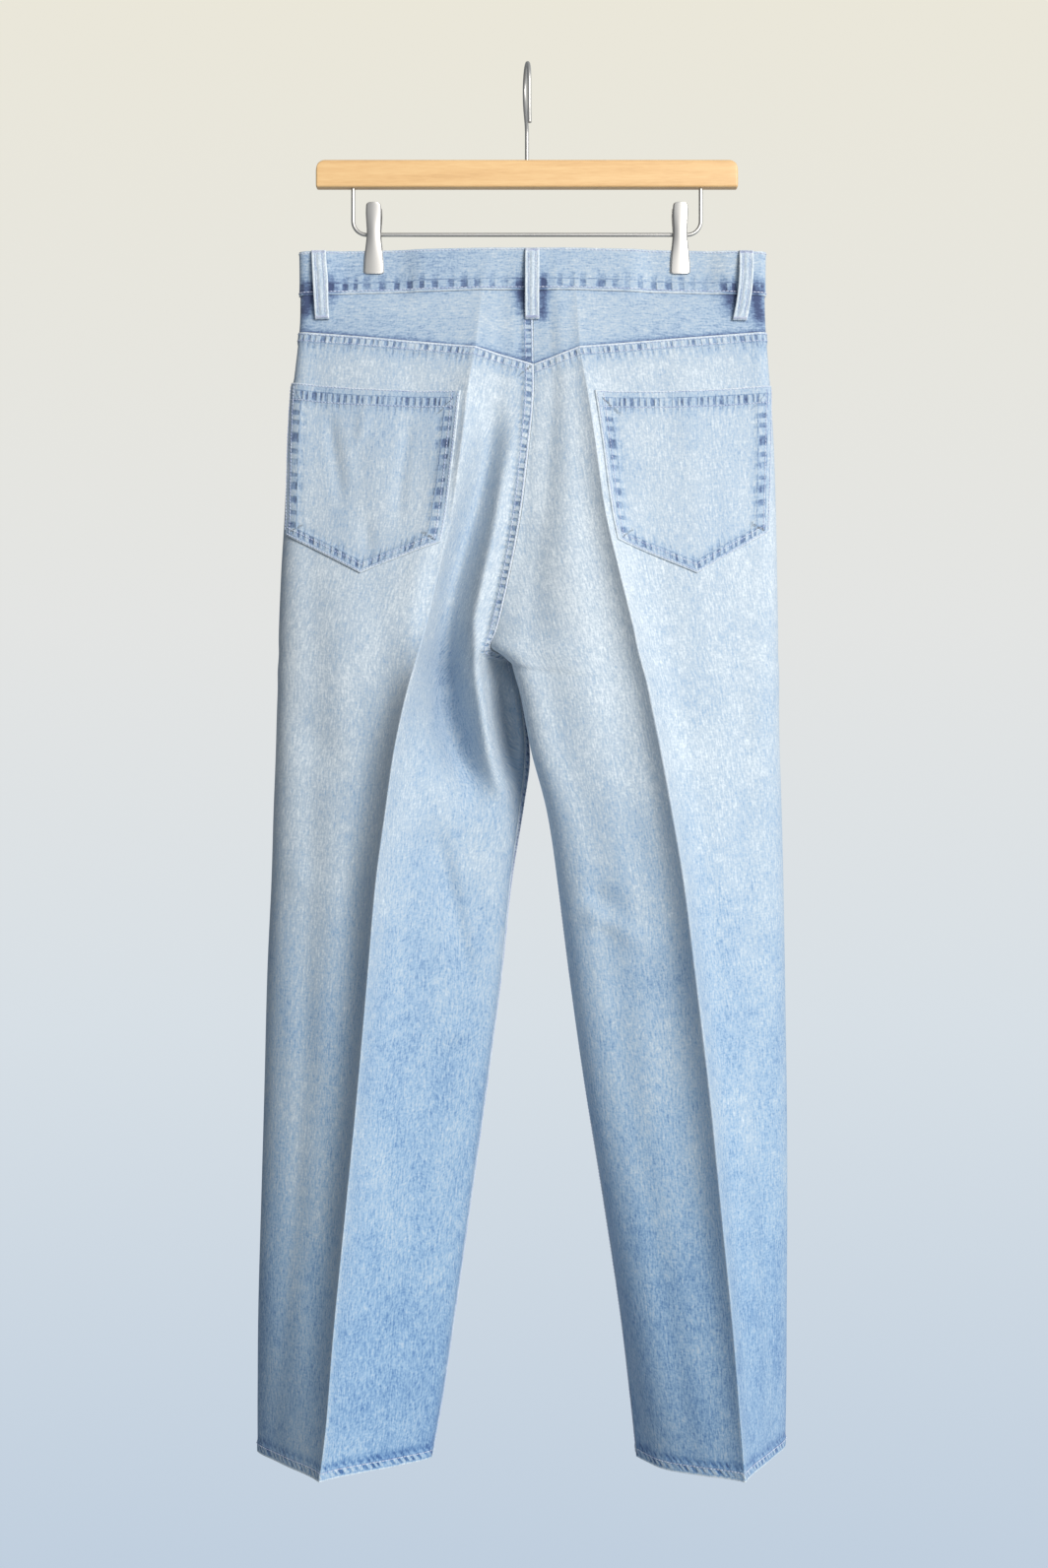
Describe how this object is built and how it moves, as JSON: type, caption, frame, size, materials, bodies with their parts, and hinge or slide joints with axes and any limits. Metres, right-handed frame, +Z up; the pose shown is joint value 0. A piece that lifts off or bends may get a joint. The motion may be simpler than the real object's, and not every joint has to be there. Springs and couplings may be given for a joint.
{
  "type": "jeans on a trouser clip hanger",
  "caption": "Pressed straight-leg denim jeans with five pockets, hung by the waistband from two clips under a wooden bar with a wire hook.",
  "frame": {"origin": "inside of the hook's crest, where the hanger rests on a rail", "axes": "+Z up, -Y towards the back of the jeans, +X towards the wearer's right leg"},
  "size_m": [0.4731, 0.177, 1.2344],
  "materials": {
    "denim": "light-washed cotton twill with a pressed crease",
    "unfaded_denim": "cotton twill that the wash has faded less",
    "button_metal": "plain metal shank button",
    "beech": "clear satin lacquer",
    "nickel": "matt nickel plate"
  },
  "bodies": {
    "root": {"back_left": "denim", "back_right": "denim", "front_left": "denim", "front_right": "denim", "yoke_left": "denim", "yoke_right": "denim", "waistband": "denim", "back_pocket_left": "denim", "back_pocket_right": "denim", "front_pocket_left": "unfaded_denim", "front_pocket_right": "unfaded_denim", "coin_pocket": "denim", "fly": "denim", "belt_loop_back_left": "denim", "belt_loop_back_centre": "denim", "belt_loop_back_right": "denim", "belt_loop_front_left": "denim", "belt_loop_front_right": "denim", "waist_button": "button_metal", "hanger_bar": "beech", "hanger_hook": "nickel", "clip_wire": "nickel", "clip_front_left": "nickel", "clip_rear_left": "nickel", "clip_sleeve_left": "nickel", "clip_front_right": "nickel", "clip_rear_right": "nickel", "clip_sleeve_right": "nickel"}
  },
  "joints": []
}
